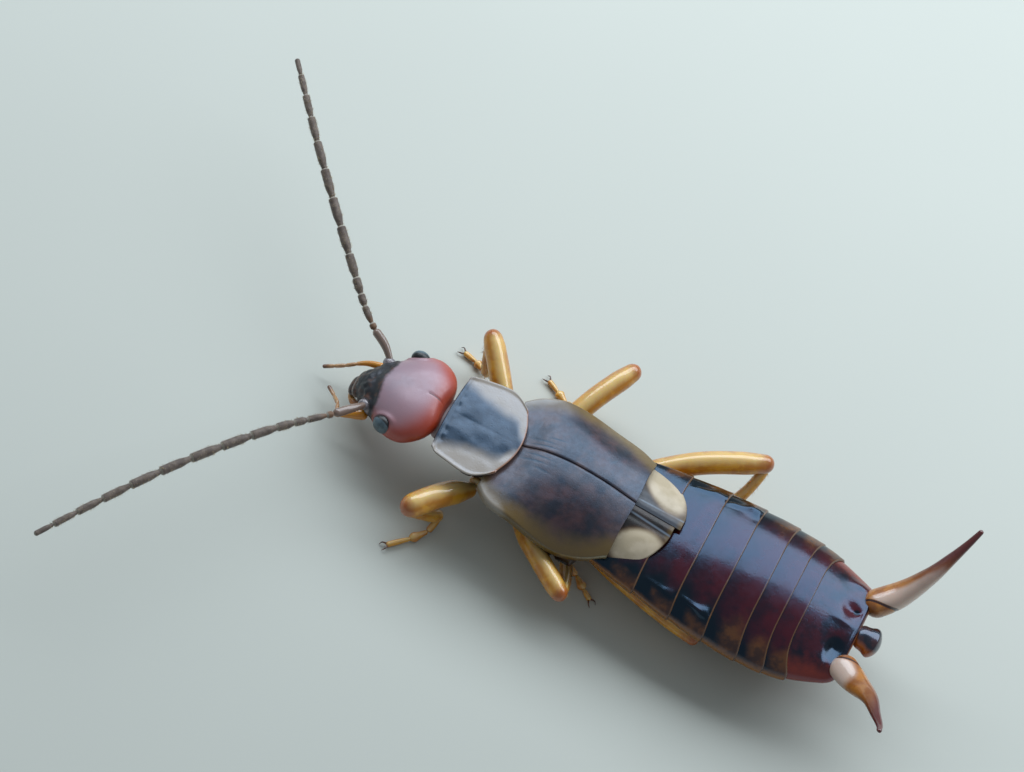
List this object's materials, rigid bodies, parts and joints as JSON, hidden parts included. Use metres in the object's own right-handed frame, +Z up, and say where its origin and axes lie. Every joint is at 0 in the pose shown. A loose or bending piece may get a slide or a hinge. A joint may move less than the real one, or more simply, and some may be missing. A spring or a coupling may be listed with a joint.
{
  "type": "earwig, life-size model of the insect",
  "caption": "Still life-size model of a male earwig with raised, outcurved forceps, short wing cases and long thin feelers, standing on small flat soles.",
  "frame": {"origin": "on the floor, under the middle of the whole animal's box", "axes": "+X towards the head, +Y towards the animal's left side, +Z up"},
  "size_m": [0.0204, 0.0148, 0.0038],
  "materials": {
    "head_shell": "glossy brick-red cuticle, darker at the mouth",
    "dark_cuticle": "near-black brown cuticle with a soft gloss",
    "eye": "blue-grey compound eye with fine facets",
    "feeler": "grey-brown jointed feeler with pale joints",
    "amber_cuticle": "translucent amber-yellow cuticle, glossy",
    "shield": "dark shield with a blue sheen and broad cream side margins",
    "wing_case": "smoky brown leathery wing case with an olive outer edge",
    "wing_tip": "ivory spot on dark brown wing tip",
    "abdomen_shell": "polished red-black plates with thin pale hind margins",
    "forceps": "ivory and amber at the base, dark red-brown at the tip"
  },
  "bodies": {
    "root": {"head": "head_shell", "mouth": "dark_cuticle", "neck": "dark_cuticle", "eye_left": "eye", "eye_right": "eye", "palp_left": "amber_cuticle", "palp_right": "amber_cuticle", "scape_left": "amber_cuticle", "scape_right": "amber_cuticle", "antenna_left_inner": "feeler", "antenna_left_outer": "feeler", "antenna_right_inner": "feeler", "antenna_right_outer": "feeler", "pronotum": "shield", "prothorax": "dark_cuticle", "pterothorax": "dark_cuticle", "tegmen_left": "wing_case", "tegmen_right": "wing_case", "hind_wing_tip_left": "wing_tip", "hind_wing_tip_right": "wing_tip", "abdomen_2": "abdomen_shell", "abdomen_3": "abdomen_shell", "abdomen_4": "abdomen_shell", "abdomen_5": "abdomen_shell", "abdomen_6": "abdomen_shell", "abdomen_7": "abdomen_shell", "abdomen_10": "abdomen_shell", "pygidium": "abdomen_shell", "forceps_left": "forceps", "forceps_right": "forceps", "leg_fore_left_coxa": "amber_cuticle", "leg_fore_left_femur": "amber_cuticle", "leg_fore_left_tibia": "amber_cuticle", "leg_fore_left_tarsus": "amber_cuticle", "leg_mid_left_coxa": "amber_cuticle", "leg_mid_left_femur": "amber_cuticle", "leg_mid_left_tibia": "amber_cuticle", "leg_mid_left_tarsus": "amber_cuticle", "leg_hind_left_coxa": "amber_cuticle", "leg_hind_left_femur": "amber_cuticle", "leg_hind_left_tibia": "amber_cuticle", "leg_hind_left_tarsus": "amber_cuticle", "leg_fore_right_coxa": "amber_cuticle", "leg_fore_right_femur": "amber_cuticle", "leg_fore_right_tibia": "amber_cuticle", "leg_fore_right_tarsus": "amber_cuticle", "leg_mid_right_coxa": "amber_cuticle", "leg_mid_right_femur": "amber_cuticle", "leg_mid_right_tibia": "amber_cuticle", "leg_mid_right_tarsus": "amber_cuticle", "leg_hind_right_coxa": "amber_cuticle", "leg_hind_right_femur": "amber_cuticle", "leg_hind_right_tibia": "amber_cuticle", "leg_hind_right_tarsus": "amber_cuticle"}
  },
  "joints": []
}
